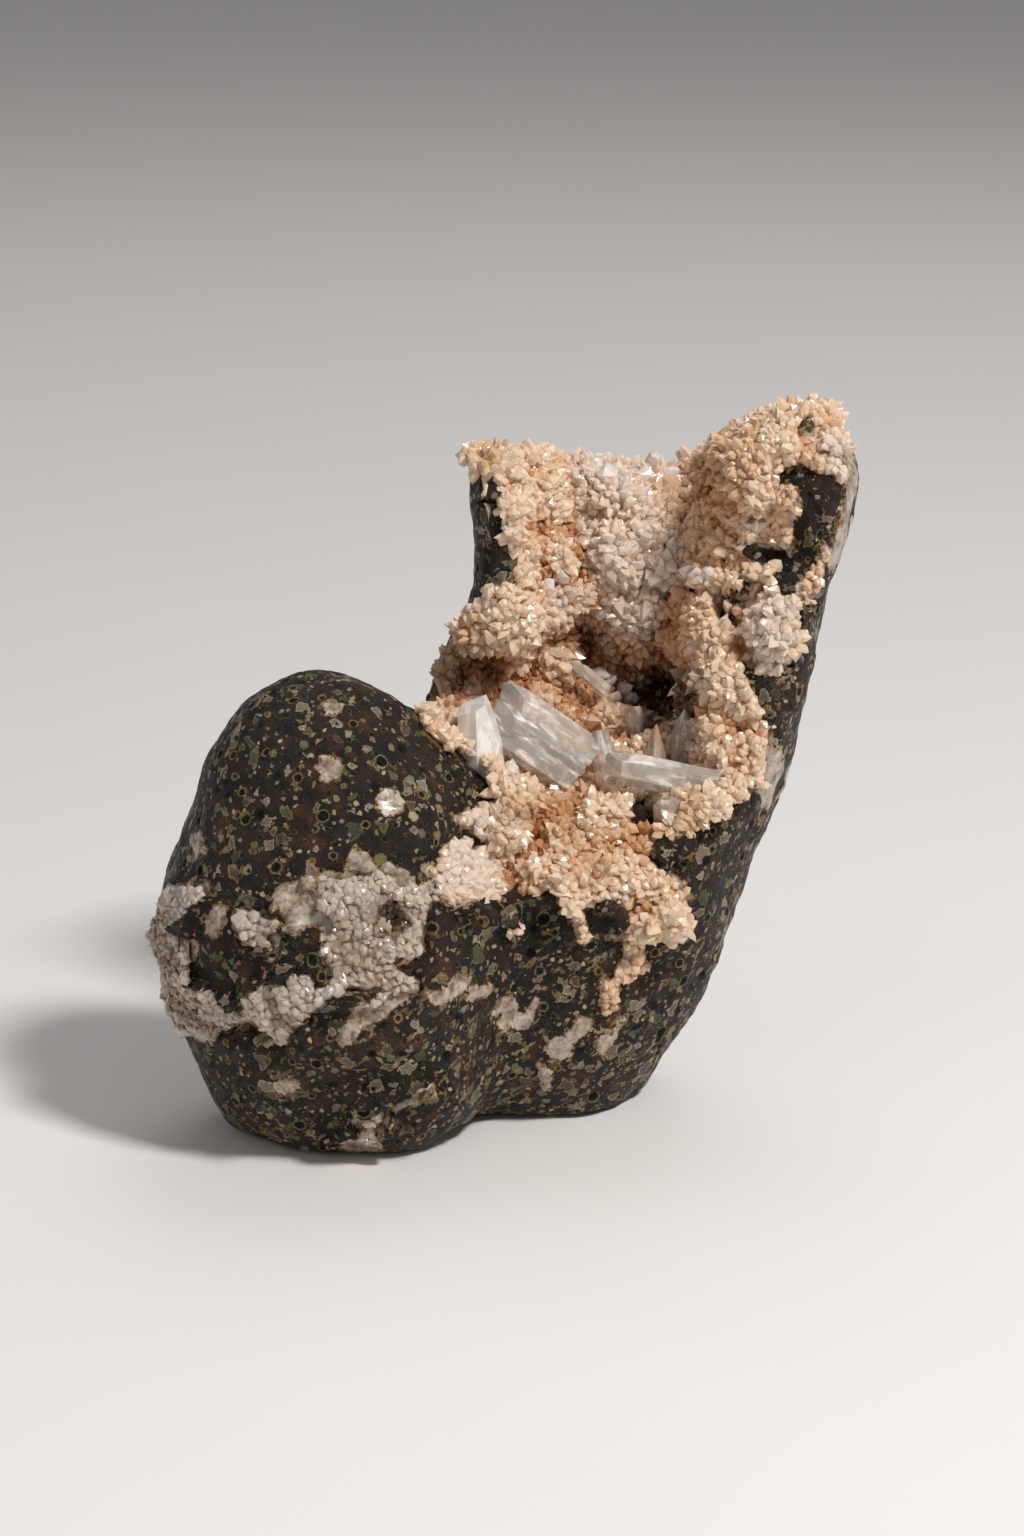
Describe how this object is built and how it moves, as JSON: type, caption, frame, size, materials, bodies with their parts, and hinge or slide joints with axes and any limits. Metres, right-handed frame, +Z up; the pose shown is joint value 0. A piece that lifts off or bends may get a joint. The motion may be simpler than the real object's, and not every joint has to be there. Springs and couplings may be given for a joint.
{
  "type": "heulandite with calcite specimen",
  "caption": "Mineral specimen: a broken dark basalt cobble whose open hollow is lined with peach heulandite crystals, with clear calcite prisms standing on its seat.",
  "frame": {"origin": "middle of the bounding box in X and Y, on the flat base the stone stands on", "axes": "+X to the viewer's right, towards the tall arm of the wall; +Y away from the viewer; +Z up"},
  "size_m": [0.092, 0.066, 0.0899],
  "materials": {
    "basalt": "dark brown-black vesicular stone, slight sheen",
    "heulandite": "peach crystal druse, glassy faces",
    "pale_heulandite": "pale pinkish grey crystals, glassy faces",
    "calcite": "clear crystal with white streaks"
  },
  "bodies": {
    "root": {"basalt_matrix": "basalt", "heulandite_crust": "heulandite", "heulandite_pocket": "pale_heulandite", "heulandite_spot": "pale_heulandite", "heulandite_vein": "pale_heulandite", "calcite_cluster": "calcite", "calcite_long_prism": "calcite", "calcite_upright_prism": "calcite", "calcite_pointed_crystal": "calcite", "calcite_back_block": "calcite", "calcite_back_prism": "calcite", "calcite_broad_blade": "calcite", "calcite_narrow_blade": "calcite", "calcite_front_block": "calcite"}
  },
  "joints": []
}
